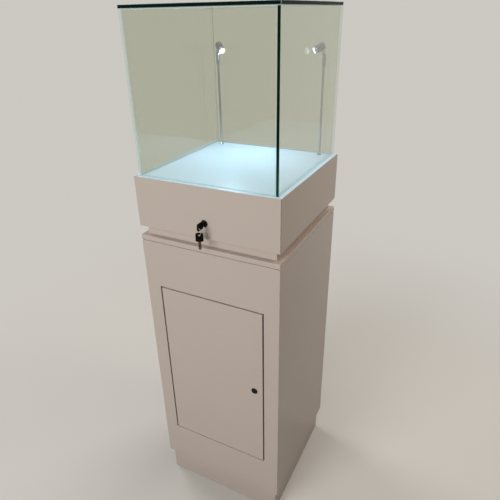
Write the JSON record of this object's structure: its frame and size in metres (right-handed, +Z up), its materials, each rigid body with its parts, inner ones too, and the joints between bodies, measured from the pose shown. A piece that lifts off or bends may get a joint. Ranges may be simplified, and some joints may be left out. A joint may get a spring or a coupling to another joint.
{
  "type": "pedestal display case",
  "caption": "Free-standing pedestal display case: cupboard base with an inset door, upper box with a pull-out deck and front pane, glass hood and pole lamps.",
  "frame": {"origin": "on the floor, under the middle of the whole object's bounding box, which the key stretches 31.6 mm beyond the front face", "axes": "+Z up, front face towards -Y, +X to the right as seen from the front"},
  "size_m": [0.4, 0.4316, 1.436],
  "materials": {
    "lacquer": "gloss lacquer, warm white",
    "deck": "gloss lacquer, cool white",
    "inner": "satin lacquer",
    "glass": "clear float glass, polished edges",
    "chrome": "polished",
    "steel": "zinc plated",
    "black": "moulded, satin",
    "lens": "lit diffuser",
    "plastic": "moulded",
    "lead": "satin insulation"
  },
  "bodies": {
    "case": {"plinth_front": "lacquer", "plinth_back": "lacquer", "plinth_left": "lacquer", "plinth_right": "lacquer", "base_panel": "inner", "left_panel": "lacquer", "right_panel": "lacquer", "front_panel": "lacquer", "back_panel": "lacquer", "top_panel": "lacquer", "hinge_pin_top": "steel", "hinge_pin_bottom": "steel", "door_stop": "inner", "neck_front": "lacquer", "neck_back": "lacquer", "neck_left": "lacquer", "neck_right": "lacquer", "upper_left": "lacquer", "upper_right": "lacquer", "upper_back": "lacquer", "upper_floor": "inner", "lamp_strip": "deck", "lock_strike": "steel", "slide_outer_left": "steel", "slide_outer_right": "steel", "hood_left": "glass", "hood_right": "glass", "hood_back": "glass", "hood_top": "glass", "lamp_left_pole": "chrome", "lamp_right_pole": "chrome", "led_driver": "plastic", "lamp_lead": "lead"},
    "door": {"door": "lacquer", "door_lock_body": "chrome", "door_lock_nut": "steel"},
    "door_plug": {"door_lock_plug": "chrome", "door_lock_cam": "steel"},
    "drawer": {"drawer_front": "lacquer", "deck": "deck", "drawer_side_left": "inner", "drawer_side_right": "inner", "slide_inner_left": "steel", "slide_inner_right": "steel", "hood_front": "glass", "drawer_lock_body": "chrome", "drawer_lock_nut": "steel"},
    "slide_left": {"slide_middle_left": "steel"},
    "slide_right": {"slide_middle_right": "steel"},
    "drawer_plug": {"drawer_lock_plug": "chrome", "drawer_lock_cam": "steel"},
    "key": {"key": "black"},
    "key_ring": {"key_ring": "chrome"},
    "spare_key": {"spare_key": "black"},
    "lamp_left_sleeve": {"lamp_left_sleeve": "chrome"},
    "lamp_left_head": {"lamp_left_head": "chrome", "lamp_left_lens": "lens"},
    "lamp_right_sleeve": {"lamp_right_sleeve": "chrome"},
    "lamp_right_head": {"lamp_right_head": "chrome", "lamp_right_lens": "lens"}
  },
  "joints": [
    {"name": "door_hinge", "type": "hinge", "parent": "case", "child": "door", "pos_m": [-0.139, -0.1762, 0.4815], "axis": [0, 0, -1], "range_deg": [0, 100]},
    {"name": "door_lock_turn", "type": "hinge", "parent": "door", "child": "door_plug", "pos_m": [0.128, -0.1842, 0.4845], "axis": [0, 1, 0], "range_deg": [0, 90]},
    {"name": "drawer_slide", "type": "slide", "parent": "case", "child": "drawer", "axis": [0, -1, 0], "range_m": [0, 0.3]},
    {"name": "slide_left_run", "type": "slide", "parent": "case", "child": "slide_left", "axis": [0, -1, 0], "range_m": [0, 0.15]},
    {"name": "slide_right_run", "type": "slide", "parent": "case", "child": "slide_right", "axis": [0, -1, 0], "range_m": [0, 0.15]},
    {"name": "drawer_lock_turn", "type": "hinge", "parent": "drawer", "child": "drawer_plug", "pos_m": [0, -0.1842, 0.965], "axis": [0, 1, 0], "range_deg": [0, 90]},
    {"name": "key_pull", "type": "slide", "parent": "drawer_plug", "child": "key", "axis": [0, -1, 0], "range_m": [0, 0.02]},
    {"name": "ring_swing", "type": "hinge", "parent": "key", "child": "key_ring", "pos_m": [0, -0.2093, 0.9638], "axis": [0.8192, -0.5736, 0], "range_deg": [-45, 12]},
    {"name": "spare_swing", "type": "hinge", "parent": "key_ring", "child": "spare_key", "pos_m": [0, -0.2093, 0.9458], "axis": [0.8192, -0.5736, 0], "range_deg": [-35, 15]},
    {"name": "lamp_left_swivel", "type": "hinge", "parent": "case", "child": "lamp_left_sleeve", "pos_m": [-0.157, 0.1808, 1.31], "axis": [0, 0, -1], "range_deg": [-30, 75]},
    {"name": "lamp_left_tilt", "type": "hinge", "parent": "lamp_left_sleeve", "child": "lamp_left_head", "pos_m": [-0.15532, 0.17971, 1.3235], "axis": [0.5446, 0.8387, 0], "range_deg": [-61, 39]},
    {"name": "lamp_right_swivel", "type": "hinge", "parent": "case", "child": "lamp_right_sleeve", "pos_m": [0.157, 0.1808, 1.31], "axis": [0, 0, 1], "range_deg": [-30, 75]},
    {"name": "lamp_right_tilt", "type": "hinge", "parent": "lamp_right_sleeve", "child": "lamp_right_head", "pos_m": [0.15532, 0.17971, 1.3235], "axis": [0.5446, -0.8387, 0], "range_deg": [-50, 50]}
  ],
  "couplings": [
    {"joint": "slide_left_run", "follows": "drawer_slide", "ratio": 0.5},
    {"joint": "slide_right_run", "follows": "drawer_slide", "ratio": 0.5}
  ]
}
